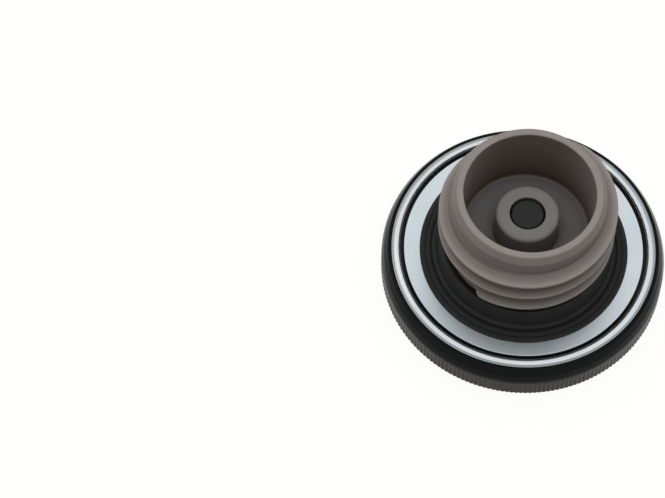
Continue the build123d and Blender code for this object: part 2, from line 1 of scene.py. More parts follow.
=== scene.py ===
# %% [markdown]
# # A screw-in fuel filler cap
#
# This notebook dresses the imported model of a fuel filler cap. The cap stands on the outer face of
# its black cover, and the threaded neck that goes into the tank points up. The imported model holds
# every piece at its real size. Here the pieces that show get finer meshes of the same form, and
# every piece gets its finish. Lengths are metres, and sizes that a maker would read off a drawing
# are written in millimetres and multiplied by MM.

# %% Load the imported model
import math

import bmesh
import bpy
from mathutils import Matrix, Vector


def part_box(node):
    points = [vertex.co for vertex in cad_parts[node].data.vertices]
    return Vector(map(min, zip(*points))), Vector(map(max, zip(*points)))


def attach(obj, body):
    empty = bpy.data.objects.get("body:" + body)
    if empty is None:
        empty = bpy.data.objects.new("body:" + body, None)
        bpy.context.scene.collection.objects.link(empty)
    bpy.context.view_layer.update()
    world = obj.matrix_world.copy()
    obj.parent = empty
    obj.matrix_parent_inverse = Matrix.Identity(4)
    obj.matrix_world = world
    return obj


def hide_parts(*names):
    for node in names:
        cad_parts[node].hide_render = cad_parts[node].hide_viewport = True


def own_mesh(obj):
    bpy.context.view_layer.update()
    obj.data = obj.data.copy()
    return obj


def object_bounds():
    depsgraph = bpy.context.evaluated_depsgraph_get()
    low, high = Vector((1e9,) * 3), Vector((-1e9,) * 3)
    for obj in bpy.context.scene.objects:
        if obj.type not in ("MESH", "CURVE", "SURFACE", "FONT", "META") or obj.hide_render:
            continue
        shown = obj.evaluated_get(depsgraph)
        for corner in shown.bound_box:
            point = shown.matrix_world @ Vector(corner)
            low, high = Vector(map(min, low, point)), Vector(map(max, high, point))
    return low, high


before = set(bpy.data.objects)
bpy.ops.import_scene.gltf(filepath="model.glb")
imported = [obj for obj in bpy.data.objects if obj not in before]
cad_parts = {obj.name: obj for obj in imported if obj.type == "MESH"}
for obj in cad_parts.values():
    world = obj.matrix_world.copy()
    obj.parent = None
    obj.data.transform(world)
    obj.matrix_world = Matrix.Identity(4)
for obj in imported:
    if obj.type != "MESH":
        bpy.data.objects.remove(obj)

MM = 0.001
cad_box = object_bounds()
print("CAD box, mm:", [round(v / MM, 2) for corner in cad_box for v in corner])

# %% [markdown]
# ## Camera
#
# A product picture like this is taken with a long lens from well above, so that the far side of
# a round piece is hardly smaller than the near side. The cap stands a little to the right of
# where the camera points, as it would in a picture of a pair. The camera could be aimed with a
# Track To constraint, but it has no roll and no sideways turn, so one rotation says it plainly.

# %% Camera
CAMERA_PLACE = (-54.24, -389.8, 761.0)     # mm from the foot of the cap's axis
CAMERA_TILT = 27.48                        # degrees away from looking straight down
LENS = 160.9                               # mm
SENSOR_WIDTH = 36.0                        # mm

camera_data = bpy.data.cameras.new("camera")
camera_data.lens = LENS
camera_data.sensor_width = SENSOR_WIDTH
camera_data.clip_start = 0.01
camera_data.clip_end = 20.0
camera = bpy.data.objects.new("camera", camera_data)
camera.location = [v * MM for v in CAMERA_PLACE]
camera.rotation_euler = (math.radians(CAMERA_TILT), 0.0, 0.0)
bpy.context.scene.collection.objects.link(camera)
bpy.context.scene.camera = camera
bpy.context.scene.view_settings.view_transform = "Standard"
print("camera distance, mm:", round(Vector(CAMERA_PLACE).length))

# %% [markdown]
# ## Outlines with rounded corners
#
# Nearly every piece of a cap is turned: one outline goes round one axis. A real edge is never
# sharp, and it is the small rounding on it that catches the light, so each corner of an outline
# says its radius, its height and its rounding. Blender's Bevel modifier could round the edges
# later, but it gives every edge one width. Here the arcs are worked out first. Beside each arc
# stands one more point on the straight run, which keeps the flat face's shading flat. Two
# roundings come again and again: that of an edge left as it was cut, and a finer one where
# another piece seats.

# %% Rounded outline
ARC_STEP = math.radians(15)      # one point per 15 degrees of arc
HOLD = 0.05                      # mm from an arc's end to the point that keeps the flat
CUT_EDGE = 0.15                  # mm: rounding of an edge left as it was cut or moulded
SEAT_EDGE = 0.05                 # mm: rounding where another piece seats


def rounded(corners, closed=True):
    """Points (radius, height) of an outline whose corners are (radius, height, rounding)."""
    points = []
    count = len(corners)
    for index, (radius, height, rounding) in enumerate(corners):
        corner = Vector((radius, height))
        if not closed and index in (0, count - 1):
            points.append(corner)
            continue
        before = Vector(corners[index - 1][:2]) - corner
        after = Vector(corners[(index + 1) % count][:2]) - corner
        into, out = before.normalized(), after.normalized()
        half = math.acos(max(-1.0, min(1.0, into.dot(out)))) / 2
        reach = rounding / math.tan(half)
        if before.length > reach + 3 * HOLD:
            points.append(corner + into * (reach + HOLD))
        if rounding <= 0:
            points.append(corner)
        else:
            centre = corner + (into + out).normalized() * (rounding / math.sin(half))
            start = corner + into * reach - centre
            sweep = math.pi - 2 * half
            turn_way = 1 if out.cross(into) > 0 else -1
            steps = max(2, math.ceil(sweep / ARC_STEP))
            for step in range(steps + 1):
                angle = turn_way * sweep * step / steps
                c, s = math.cos(angle), math.sin(angle)
                points.append(centre + Vector((c * start.x - s * start.y, s * start.x + c * start.y)))
        if after.length > reach + 3 * HOLD:
            points.append(corner + out * (reach + HOLD))
    return [(p.x, p.y) for p in points]


test_outline = rounded([(10, 0, 1), (20, 0, 1), (20, 5, 1), (10, 5, 1)])
print("a rounded rectangle has", len(test_outline), "points")

# %% [markdown]
# ## Turning an outline
#
# Blender's Screw modifier turns an outline into a solid, and so does bmesh.ops.spin. Some pieces
# here aren't quite round, though: the cover is knurled and the gasket sits off centre. A small
# function that places each ring itself can move every point in or out on the way, so one function
# serves them all. A point on the axis becomes a single vertex, and the faces round it close the
# piece there.

# %% Turn
SMOOTH_BELOW = math.radians(32)  # edges that bend more than this are shown sharp


def finished_mesh(name, bm):
    """Object of a bmesh, with outward faces and smooth shading."""
    bmesh.ops.recalc_face_normals(bm, faces=bm.faces)
    mesh = bpy.data.meshes.new(name)
    bm.to_mesh(mesh)
    bm.free()
    mesh.shade_smooth()
    mesh.set_sharp_from_angle(angle=SMOOTH_BELOW)
    piece = bpy.data.objects.new(name, mesh)
    bpy.context.scene.collection.objects.link(piece)
    return piece


def ring(bm, radius, height, segments, shape=None, first_angle=0.0):
    """One ring of vertices, or a single vertex on the axis. Sizes come in millimetres."""
    if radius < 1e-6:
        return [bm.verts.new((0, 0, height * MM))]
    verts = []
    for step in range(segments):
        angle = first_angle + 2 * math.pi * step / segments
        r = (shape(angle, radius, height) if shape else radius) * MM
        verts.append(bm.verts.new((r * math.cos(angle), r * math.sin(angle), height * MM)))
    return verts


def join_rings(bm, lower, upper):
    """Faces between two rings, or between a ring and a vertex on the axis."""
    count = max(len(lower), len(upper))
    for step in range(count):
        after = (step + 1) % count
        if len(lower) == 1:
            bm.faces.new((lower[0], upper[step], upper[after]))
        elif len(upper) == 1:
            bm.faces.new((lower[step], lower[after], upper[0]))
        else:
            bm.faces.new((lower[step], lower[after], upper[after], upper[step]))


def turned(name, outline, segments, closed=True, shape=None):
    """Solid of an outline that goes round the cap's axis."""
    bm = bmesh.new()
    rings = [ring(bm, radius, height, segments, shape) for radius, height in outline]
    for lower, upper in zip(rings, rings[1:]):
        join_rings(bm, lower, upper)
    if closed:
        join_rings(bm, rings[-1], rings[0])
    return finished_mesh(name, bm)


print("ready to turn outlines, smooth below", round(math.degrees(SMOOTH_BELOW)), "degrees")

# %% [markdown]
# ## Cover
#
# The cover is the part that a hand grips: a round steel pressing with a flat raised disc on its
# outer face, a knurled rim and a lip that is rolled over the parts inside. It is one sheet all
# the way, so one outline runs along its outside and back along its inside. The knurl's ribs are
# rolled into the rim, and here they are part of the turned mesh: each point of the rim is pulled
# in to the rib's form at its angle, six points to a rib. The roller bites less towards the
# shoulder, so the ribs fade out there, and a few more rows of points on the rim carry the fade.

# %% Cover outline
cover_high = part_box("cover")[1]
COVER_R = cover_high.x / MM
COVER_TOP = cover_high.z / MM
COVER_SHEET = 1.2
FACE_R = COVER_R - 4.3           # raised flat disc
FACE_STEP = 0.3
BORDER_R = COVER_R - 0.9
BORDER_RISE = 0.2                # how much higher the border's outer edge is than its inner one
KNURL_START = 1.2
KNURL_END_BEVEL = 0.4
LIP_R = 37.6
LIP_HEIGHT = 3.1
LIP_WIDTH = 0.8
LIP_FLARE = 0.8                  # height over which the lip widens to the bore
COVER_BORE_R = COVER_R - KNURL_END_BEVEL - COVER_SHEET
SHOULDER = COVER_TOP - 2.3       # where the lip's slope meets the rim
SHOULDER_R = COVER_R - 0.7
RIM_TOP = SHOULDER - 2.2         # where the rim starts to lean in
KNURL_TOP = SHOULDER - 1.0
KNURL_FADE = 5.0                 # the ribs deepen over this height below the knurl's top
FADE_ROW_TOP = RIM_TOP - 0.9     # the extra rows of points on the rim
FADE_ROW_GAP = 0.7

cover_corners = [
    (0, 0, 0),
    (FACE_R, 0, 0.8),
    (FACE_R + 2 * FACE_STEP, FACE_STEP, 0.6),
    (BORDER_R, FACE_STEP + BORDER_RISE, CUT_EDGE),
    (BORDER_R, KNURL_START - KNURL_END_BEVEL, 0),
    (COVER_R - KNURL_END_BEVEL, KNURL_START - KNURL_END_BEVEL, 0),
    (COVER_R, KNURL_START, 0),
    *[(COVER_R, FADE_ROW_TOP - FADE_ROW_GAP * row, 0) for row in (2, 1, 0)],
    (COVER_R, RIM_TOP, 4.0),
    (SHOULDER_R, SHOULDER, 1.6),
    (LIP_R + LIP_WIDTH, COVER_TOP, 0.72),
    (LIP_R, COVER_TOP, CUT_EDGE),
    (LIP_R, COVER_TOP - LIP_HEIGHT, 0),
    (COVER_BORE_R, COVER_TOP - LIP_HEIGHT - LIP_FLARE, 0),
    (COVER_BORE_R, COVER_SHEET, 0),
    (0, COVER_SHEET, 0),
]
print("cover radius and height, mm:", round(COVER_R, 2), round(COVER_TOP, 2))

# %% Cover with its knurl
RIB_COUNT = 192
RIB_DEPTH = 0.2
POINTS_PER_RIB = 6
RIB_FORM = (0.0, 0.10, 0.62, 1.0, 0.62, 0.10)     # 0 on the crest, 1 at the bottom of the groove


def eased(share):
    """A share from 0 to 1 that starts and ends softly."""
    share = min(1.0, max(0.0, share))
    return share * share * (3 - 2 * share)


def knurled(angle, radius, height):
    """Radius of a point of the cover, pulled in to the knurl's form on the rim."""
    if radius < COVER_R - KNURL_END_BEVEL or height > KNURL_TOP:
        return radius
    step = round(angle / (2 * math.pi) * RIB_COUNT * POINTS_PER_RIB) % POINTS_PER_RIB
    depth = RIB_DEPTH * eased((KNURL_TOP - height) / KNURL_FADE)
    return min(radius, COVER_R - depth * RIB_FORM[step])


knurled_cover = turned(
    "knurled_cover",
    rounded(cover_corners, closed=False),
    segments=RIB_COUNT * POINTS_PER_RIB,
    closed=False,
    shape=knurled,
)
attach(knurled_cover, "cover_assembly")
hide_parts("cover")
print("cover faces:", len(knurled_cover.data.polygons))

# %% [markdown]
# ## Retaining ring
#
# A bright ring is pressed into the cover's lip and holds the parts in. It is bent from thin
# sheet: a skirt in the lip, a narrow flat flange, and a half-round bead inside it that runs down
# as the ring's inner wall. The bead is what shines in a picture, so its arc is the part to get
# right.

# %% Retaining ring
RING_SHEET = 0.7
RING_FIT = 0.05                  # gap between the ring and the cover's lip
RING_OUTER_R = LIP_R - RING_FIT
RING_INNER_R = 34.92
BEAD_WIDTH = 1.9
BEAD_SLOPE = 0.5                 # width of the slope from the bead's crest to the flange
BEAD_RISE = 0.55
RING_SKIRT = 2.2
ring_low, ring_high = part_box("retaining_ring")
RING_FOOT = ring_low.z / MM
RING_CREST = ring_high.z / MM
RING_FLANGE = RING_CREST - BEAD_RISE

beaded_ring = turned(
    "beaded_ring",
    rounded([
        (RING_INNER_R, RING_FOOT, CUT_EDGE),
        (RING_INNER_R, RING_CREST, 0.9),
        (RING_INNER_R + BEAD_WIDTH - BEAD_SLOPE, RING_CREST, 0.55),
        (RING_INNER_R + BEAD_WIDTH, RING_FLANGE, 0.3),
        (RING_OUTER_R, RING_FLANGE, 0.3),
        (RING_OUTER_R, RING_FLANGE - RING_SKIRT, CUT_EDGE),
        (RING_OUTER_R - RING_SHEET, RING_FLANGE - RING_SKIRT, CUT_EDGE),
        (RING_OUTER_R - RING_SHEET, RING_FLANGE - RING_SHEET, CUT_EDGE),
        (RING_INNER_R + RING_SHEET, RING_FLANGE - RING_SHEET, CUT_EDGE),
        (RING_INNER_R + RING_SHEET, RING_FOOT, CUT_EDGE),
    ]),
    segments=360,
)
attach(beaded_ring, "cover_assembly")
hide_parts("retaining_ring")
print("bead crest, mm:", round(RING_CREST, 2))

# %% [markdown]
# ## Flange plate
#
# A flat bright washer lies on the neck's flange, with a dark gap between it and the ring. It is
# stamped, so its outer edge is a little rounded on top and its faces are dead flat.

# %% Flange plate
plate_low, plate_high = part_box("flange_plate")
PLATE_R = plate_high.x / MM
PLATE_BOTTOM = plate_low.z / MM
PLATE_TOP = plate_high.z / MM
SPIGOT_R = 25.0                  # the neck's step that the washer goes over
WASHER_FIT = 0.1                 # gap between the washer and that step

bright_washer = turned(
    "bright_washer",
    rounded([
        (SPIGOT_R + WASHER_FIT, PLATE_BOTTOM, SEAT_EDGE),
        (PLATE_R, PLATE_BOTTOM, CUT_EDGE),
        (PLATE_R, PLATE_TOP, CUT_EDGE),
        (SPIGOT_R + WASHER_FIT, PLATE_TOP, SEAT_EDGE),
    ]),
    segments=360,
)
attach(bright_washer, "neck_assembly")
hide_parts("flange_plate")
print("plate top, mm:", round(PLATE_TOP, 2))

# %% [markdown]
# ## Gasket
#
# The rubber gasket seals on the rim of the filler. From outside in it has a flat land, a fine
# groove, a narrow raised lip, a valley and a collar that climbs the neck's root. Rubber has soft
# edges everywhere, so no corner here is left sharp. It also gives way: the rim has crept a little
# to the front on its washer, while the bore still grips the neck. So the outline is turned round
# the axis, and the points near the rim then move by a share of that creep.

# %% Gasket sizes
gasket_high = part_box("gasket")[1]
GASKET_R = gasket_high.x / MM
COLLAR_TOP = gasket_high.z / MM
LAND_TOP = PLATE_TOP + 0.6
LAND_INNER_R = GASKET_R - 1.4
SEAL_GROOVE_R = GASKET_R - 1.7
SEAL_GROOVE_DEPTH = 0.15
SEAL_LIP_OUTER_R = GASKET_R - 2.1
SEAL_LIP_INNER_R = GASKET_R - 2.9
SEAL_LIP_TOP = LAND_TOP + 0.45
VALLEY_R = GASKET_R - 3.6
VALLEY_FLOOR = LAND_TOP + 0.2
COLLAR_FOOT_R = GASKET_R - 4.4
COLLAR_FOOT = LAND_TOP + 0.8
COLLAR_WIDTH = 1.6               # at its top
CORE_R = 21.9                    # the neck's barrel between the turns of its thread
GASKET_INNER_R = CORE_R + 0.1
RIM_OFF_CENTRE = 0.45            # how far the rim has crept to the front
CREEP_START_R = CORE_R + 2.0
CREEP_WIDTH = 4.0                # width over which the creep grows to its full size
print("gasket land and collar top, mm:", round(LAND_TOP, 2), round(COLLAR_TOP, 2))


# %% Gasket
def crept(angle, radius, height):
    """Radius of a point of the gasket, whose rim is off centre and whose bore isn't."""
    share = min(1.0, max(0.0, (radius - CREEP_START_R) / CREEP_WIDTH))
    return radius - RIM_OFF_CENTRE * share * math.sin(angle)


rubber_gasket = turned(
    "rubber_gasket",
    rounded([
        (GASKET_INNER_R, PLATE_TOP, 0.4),
        (GASKET_R, PLATE_TOP, SEAT_EDGE),
        (GASKET_R, LAND_TOP, 0.35),
        (LAND_INNER_R, LAND_TOP, 0.15),
        (SEAL_GROOVE_R, LAND_TOP - SEAL_GROOVE_DEPTH, 0.15),
        (SEAL_LIP_OUTER_R, SEAL_LIP_TOP, 0.3),
        (SEAL_LIP_INNER_R, SEAL_LIP_TOP, 0.6),
        (VALLEY_R, VALLEY_FLOOR, 0.6),
        (COLLAR_FOOT_R, COLLAR_FOOT, 0.6),
        (GASKET_INNER_R + COLLAR_WIDTH, COLLAR_TOP, 0.64),
        (GASKET_INNER_R, COLLAR_TOP, 0.3),
    ]),
    segments=300,
    shape=crept,
)
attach(rubber_gasket, "neck_assembly")
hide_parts("gasket")
print("gasket faces:", len(rubber_gasket.data.polygons))

# %% [markdown]
# ## Neck: the outline that is round
#
# The neck is one moulding: a flange with a hollow underside, the threaded barrel, a cup that is
# open at the mouth, and the valve's housing that stands up from the cup's floor as a boss. All
# of it but the thread is turned. The outline below starts at the foot of the barrel's outer wall,
# goes down and in through the underside, up through the valve's chamber, over the boss, along
# the cup's floor and up to the mouth, and ends at the top of that same wall.

# %% Neck sizes
neck_low, neck_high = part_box("neck")
NECK_BASE = neck_low.z / MM
MOUTH_TOP = neck_high.z / MM
FLANGE_R = 36.9
FLANGE_TOP = NECK_BASE + 1.9
STEP_R = 33.4
STEP_TOP = PLATE_BOTTOM
WEB = 2.2                        # thickness under the step
RECESS_R = STEP_R - 2.4          # hollow under the flange
PILOT_R = 21.4
PILOT_DRAFT = 0.15               # the pilot widens by this below its straight part
PILOT_LAND = MOUTH_TOP - 4.325   # foot of the straight part
BORE_R = 18.3
BEVEL_WIDTH = 1.2                # lead-in round the mouth
BEVEL_FOOT = MOUTH_TOP - 2.4
CUP_FLOOR = MOUTH_TOP - 22.025
CUP_FLOOR_R = BORE_R - 0.45
BOSS_R = 8.9
BOSS_DRAFT = 0.25
BOSS_TOP = CUP_FLOOR + 10.1
BOSS_BORE_R = 5.0
VALVE_SEAT = BOSS_TOP - 2.55
CHAMBER_R = 6.6
CHAMBER_END = VALVE_SEAT - 20.75
CHAMBER_WALL = 2.0
WALL_FOOT = PLATE_TOP + 0.35
WALL_TOP = BEVEL_FOOT - 0.2
HOLLOW_R = 18.6
HOLLOW_TOP = CUP_FLOOR - 2.4
print("neck from its foot to its mouth, mm:", round(NECK_BASE, 2), round(MOUTH_TOP, 2))

# %% Neck outline
neck_corners = [
    (CORE_R, WALL_FOOT, 0),
    (CORE_R, PLATE_TOP, 0.3),
    (SPIGOT_R, PLATE_TOP, CUT_EDGE),
    (SPIGOT_R, STEP_TOP, SEAT_EDGE),
    (STEP_R, STEP_TOP, 0.3),
    (STEP_R, FLANGE_TOP, 0.3),
    (FLANGE_R, FLANGE_TOP, 0.3),
    (FLANGE_R, NECK_BASE, 0.3),
    (RECESS_R, NECK_BASE, CUT_EDGE),
    (RECESS_R, STEP_TOP - WEB, 0.5),
    (HOLLOW_R, STEP_TOP - WEB, 0.5),
    (HOLLOW_R, HOLLOW_TOP, 1.0),
    (CHAMBER_R + CHAMBER_WALL, HOLLOW_TOP, 1.0),
    (CHAMBER_R + CHAMBER_WALL, CHAMBER_END, CUT_EDGE),
    (CHAMBER_R, CHAMBER_END, CUT_EDGE),
    (CHAMBER_R, VALVE_SEAT, SEAT_EDGE),
    (BOSS_BORE_R, VALVE_SEAT, SEAT_EDGE),
    (BOSS_BORE_R, BOSS_TOP, 0.3),
    (BOSS_R, BOSS_TOP, 1.0),
    (BOSS_R + BOSS_DRAFT, CUP_FLOOR, 0.5),
    (CUP_FLOOR_R, CUP_FLOOR, 1.0),
    (BORE_R, MOUTH_TOP, 0.4),
    (PILOT_R - BEVEL_WIDTH, MOUTH_TOP, 0.6),
    (PILOT_R, BEVEL_FOOT, 0.3),
    (PILOT_R, WALL_TOP, 0),
]
neck_outline = rounded(neck_corners, closed=False)
print("neck outline points:", len(neck_outline))

# %% [markdown]
# ## Neck: the thread
#
# The thread is coarse, four turns to the inch, and ends below the plain pilot. A separate coil
# pushed into the barrel would meet it in a hard line all the way, but the real moulding has a
# fillet there. So the wall and its thread are one sheet of points. The rows of that sheet climb
# with the thread, so each row stays on one line of it, such as its crest, and the crest comes out
# clean. After a full turn a row meets the one that started a pitch higher.

# %% Thread form
PITCH = 6.35
CREST_R = 24.8
HALF_CREST = 0.4
UPPER_FLANK = 1.3
LOWER_FLANK = 1.9
CREST_ROUND = 0.45
FOOT_R = CORE_R - 0.3            # the flanks run on below the core's surface
THREAD_START = COLLAR_TOP + 3.75     # height of the first crest
START_ANGLE = -132.0             # degrees round the axis
END_ANGLE = 74.0
FULL_TURNS = 2
THREAD_TURNS = FULL_TURNS + (END_ANGLE - START_ANGLE) / 360

thread_outline = rounded(
    [
        (FOOT_R, -HALF_CREST - LOWER_FLANK, 0),
        (CREST_R, -HALF_CREST, CREST_ROUND),
        (CREST_R, HALF_CREST, CREST_ROUND),
        (FOOT_R, HALF_CREST + UPPER_FLANK, 0),
    ],
    closed=False,
)


def thread_radius(rise):
    """Radius of the thread at a height above its centre line, or 0 beside it."""
    for (r0, z0), (r1, z1) in zip(thread_outline, thread_outline[1:]):
        if z0 <= rise <= z1:
            return r0 + (r1 - r0) * (rise - z0) / max(z1 - z0, 1e-9)
    return 0.0


print("thread radius on the crest and on a flank:", thread_radius(0), round(thread_radius(1.0), 2))

# %% [markdown]
# ## Neck: the thread's two ends
#
# Each end of a moulded thread is made so that it can't catch. The first turn starts at a flat face
# that is cut across it at a slant and leans back as it rises. The last turn runs out: over some
# degrees it sinks into the barrel, slowly at first. Cutting the mesh with a Boolean would leave
# long thin faces, so both ends are a limit on the radius at each angle, and the rows stay whole.

# %% Neck: the thread's two ends
START_CUT = 11.0                 # degrees that the start's flat face goes round
START_SHIFT = 7.0                # degrees from the helix's start to that face, low on the turn
START_LEAN = 4.0                 # degrees that the face leans back for each mm of height
START_FACE = ((19.7, -2.0), (CREST_R + 1.0, START_CUT))    # its two ends: radius and degrees
END_CUT = 38.0                   # degrees over which the last turn runs out
END_EASE = 1.8                   # how late in those degrees it sinks
END_DEPTH = CREST_R - PILOT_R + 1.0      # by then it is below the barrel's surface


def chord_radius(start, end, degrees):
    """Radius at an angle on the straight line between two (radius, degrees) points."""
    p, q = [
        Vector((radius * math.cos(math.radians(a)), radius * math.sin(math.radians(a))))
        for radius, a in (start, end)
    ]
    way = Vector((math.cos(math.radians(degrees)), math.sin(math.radians(degrees))))
    return p.cross(q) / way.cross(q - p)


def thread_limit(turned_degrees, rise):
    """Largest radius that the end cuts leave the thread, by the angle from its start."""
    total = THREAD_TURNS * 360
    past_cut = turned_degrees - START_SHIFT + START_LEAN * (rise + LOWER_FLANK)
    if past_cut < 0 or turned_degrees > total:
        return 0.0
    limit = CREST_R
    if past_cut < START_CUT:
        limit = min(limit, chord_radius(*START_FACE, past_cut))
    if turned_degrees > total - END_CUT:
        share = (turned_degrees - total + END_CUT) / END_CUT
        limit = min(limit, CREST_R - END_DEPTH * share ** END_EASE)
    return limit


print("limits near the start:", [round(thread_limit(a, 0), 1) for a in (0, 4, 8, 12)])

# %% Barrel with its thread
COLUMNS = 240                    # points round the barrel
ROWS_PER_PITCH = 26
ROW_GAP = 0.12                   # mm: no row stands nearer than this to a bend in the thread
FILLET_ABOVE = 0.5               # size of the fillet between the barrel and a turn's upper flank
FILLET_BELOW = 0.3               # the same under a turn
PILOT_FOOT = MOUTH_TOP - 6.525
TAPER_START = PILOT_FOOT - 1.6


def barrel_radius(height):
    """Radius of the barrel between its turns: the core, an eased taper, then the pilot."""
    taper = eased((height - TAPER_START) / (PILOT_FOOT - TAPER_START))
    draft = max(0.0, (PILOT_LAND - max(height, PILOT_FOOT)) / (PILOT_LAND - PILOT_FOOT))
    pilot = PILOT_R + PILOT_DRAFT * draft
    return CORE_R + (pilot - CORE_R) * taper


def wall_radius(column, rise, turn):
    """Radius of the wall at a column, at a rise above that turn's centre line."""
    degrees = 360 * column / COLUMNS + 360 * turn
    height = THREAD_START + PITCH * degrees / 360 + rise
    plain = barrel_radius(height)
    thread = min(thread_radius(rise), thread_limit(degrees, rise))
    size = FILLET_ABOVE if rise > 0 else FILLET_BELOW
    blend = max(size - abs(plain - thread), 0.0) / size
    return max(plain, thread) + blend * blend * size / 4


def row_rises():
    """Heights of one pitch of rows, with one on each bend in the thread."""
    foot = -HALF_CREST - LOWER_FLANK
    rises = [foot + PITCH * step / ROWS_PER_PITCH for step in range(ROWS_PER_PITCH)]
    bends = [z for radius, z in thread_outline[1:-1]]
    rises = [z for z in rises if min(abs(z - bend) for bend in bends) > ROW_GAP]
    return sorted(rises + bends)


ROWS = row_rises()
print("rows in one pitch:", len(ROWS))


# %% Threaded wall
FIRST_COLUMN = math.radians(START_ANGLE)
END_MARGIN = 0.01                # mm: rows nearer than this to an end of the wall lie on it


def threaded_wall(bm):
    """Adds the barrel's outer wall with its thread to a bmesh."""
    turns_below = math.ceil((THREAD_START - WALL_FOOT) / PITCH) + 2
    turns_above = math.ceil((WALL_TOP - THREAD_START) / PITCH) + 1
    rows = [(turn, rise) for turn in range(-turns_below, turns_above) for rise in ROWS]
    columns = []
    for column in range(COLUMNS):
        angle = FIRST_COLUMN + 2 * math.pi * column / COLUMNS
        c, s = math.cos(angle), math.sin(angle)
        verts = []
        for turn, rise in rows:
            height = THREAD_START + PITCH * (turn + column / COLUMNS) + rise
            radius = wall_radius(column, rise, turn)
            if height < WALL_FOOT + END_MARGIN or height > WALL_TOP - END_MARGIN:
                height = min(max(height, WALL_FOOT), WALL_TOP)
                radius = barrel_radius(height)
            verts.append(bm.verts.new((radius * c * MM, radius * s * MM, height * MM)))
        columns.append(verts)
    for column in range(COLUMNS):
        here = columns[column]
        there = columns[(column + 1) % COLUMNS]
        jump = len(ROWS) if column == COLUMNS - 1 else 0    # the last column meets a pitch higher
        for row in range(len(rows) - 1 - jump):
            bm.faces.new((here[row], there[row + jump], there[row + 1 + jump], here[row + 1]))


bm = bmesh.new()
threaded_wall(bm)
print("wall vertices:", len(bm.verts))

# %% Neck
WELD = 0.012                     # mm: points nearer than this become one
THINNEST = 0.001                 # mm: faces thinner than this are closed up

neck_rings = [
    ring(bm, radius, height, COLUMNS, first_angle=FIRST_COLUMN) for radius, height in neck_outline
]
for lower, upper in zip(neck_rings, neck_rings[1:]):
    join_rings(bm, lower, upper)
bmesh.ops.remove_doubles(bm, verts=bm.verts, dist=WELD * MM)
bmesh.ops.dissolve_degenerate(bm, edges=bm.edges, dist=THINNEST * MM)
loose = [v for v in bm.verts if not v.link_faces]
bmesh.ops.delete(bm, geom=loose, context="VERTS")
open_edges = [e for e in bm.edges if len(e.link_faces) != 2]
print("open or crowded edges on the neck:", len(open_edges))

threaded_neck = finished_mesh("threaded_neck", bm)
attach(threaded_neck, "neck_assembly")
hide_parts("neck")
print("neck faces:", len(threaded_neck.data.polygons))

# %% [markdown]
# ## Screw bosses
#
# Four short bosses under the flange take the screws that hold the pawl plate. On the real neck
# they are part of the moulding, and a Boolean could join them to it. The cover hides that join,
# so each boss is a small turned piece of its own, set a little way into the flange.

# %% Screw bosses
SCREW_R = 1.5
SCREW_HEAD_R = 2.5
SCREW_BOSS_R = 3.2
SCREW_BOSS_ROOT = STEP_TOP - WEB + 0.1    # a little inside the flange
FIRST_SCREW = 45.0               # degrees round the axis
SCREW_COUNT = 4
screws_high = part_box("screws")[1]
SCREW_CIRCLE_R = (screws_high.x / MM - SCREW_HEAD_R) / math.cos(math.radians(FIRST_SCREW))

screw_bosses = []
for corner in range(SCREW_COUNT):
    angle = math.radians(FIRST_SCREW + 360 / SCREW_COUNT * corner)
    screw_boss = turned(
        f"screw_boss_{corner + 1}",
        rounded([
            (SCREW_R, NECK_BASE, SEAT_EDGE),
            (SCREW_BOSS_R, NECK_BASE, 0.2),
            (SCREW_BOSS_R, SCREW_BOSS_ROOT, SEAT_EDGE),
            (SCREW_R, SCREW_BOSS_ROOT, SEAT_EDGE),
        ]),
        segments=48,
    )
    screw_boss.data.transform(Matrix.Translation((
        SCREW_CIRCLE_R * math.cos(angle) * MM, SCREW_CIRCLE_R * math.sin(angle) * MM, 0,
    )))
    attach(screw_boss, "neck_assembly")
    screw_bosses.append(screw_boss)
print("screw circle, mm:", round(SCREW_CIRCLE_R, 2))

# %% [markdown]
# ## Vent plug
#
# The black plug in the boss is the head of a small poppet, which lets air in as the tank empties.
# Its stem runs down through the valve, and a clip snaps into a groove near the stem's end. Only
# the head's face and its rounded edge show, with a dark ring of clearance round it, but the whole
# plug is one outline, so the stem costs no more than a few points.

# %% Vent plug
plug_low, plug_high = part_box("vacuum_poppet")
PLUG_R = plug_high.x / MM
PLUG_TOP = plug_high.z / MM
STEM_END = plug_low.z / MM
STEM_R = 1.35
STEM_GROOVE_BOTTOM = STEM_END + 0.6
STEM_GROOVE_TOP = STEM_GROOVE_BOTTOM + 0.5
STEM_GROOVE_R = STEM_R - 0.4

vent_plug = turned(
    "vent_plug",
    rounded(
        [
            (0, STEM_END, 0),
            (STEM_R, STEM_END, 0.3),
            (STEM_R, STEM_GROOVE_BOTTOM, 0),
            (STEM_GROOVE_R, STEM_GROOVE_BOTTOM, 0),
            (STEM_GROOVE_R, STEM_GROOVE_TOP, 0),
            (STEM_R, STEM_GROOVE_TOP, 0),
            (STEM_R, VALVE_SEAT, 0),
            (PLUG_R, VALVE_SEAT, 0.1),
            (PLUG_R, PLUG_TOP, 0.5),
            (0, PLUG_TOP, 0),
        ],
        closed=False,
    ),
    segments=96,
    closed=False,
)
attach(vent_plug, "vacuum_valve")
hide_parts("vacuum_poppet")
print("plug top, mm:", round(PLUG_TOP, 2))

# %% [markdown]
# ## Coil springs
#
# Two coil springs hold the valves shut, and they shorten as a valve opens. The imported coils have
# the right form, so each is copied onto the body that it moves with, and the imported coil is
# hidden.


def coil_spring(name, node, body):
    """Copy of an imported coil, attached to a body."""
    coil = bpy.data.objects.new(name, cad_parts[node].data.copy())
    bpy.context.scene.collection.objects.link(coil)
    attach(coil, body)
    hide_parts(node)
    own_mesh(coil)
    return coil


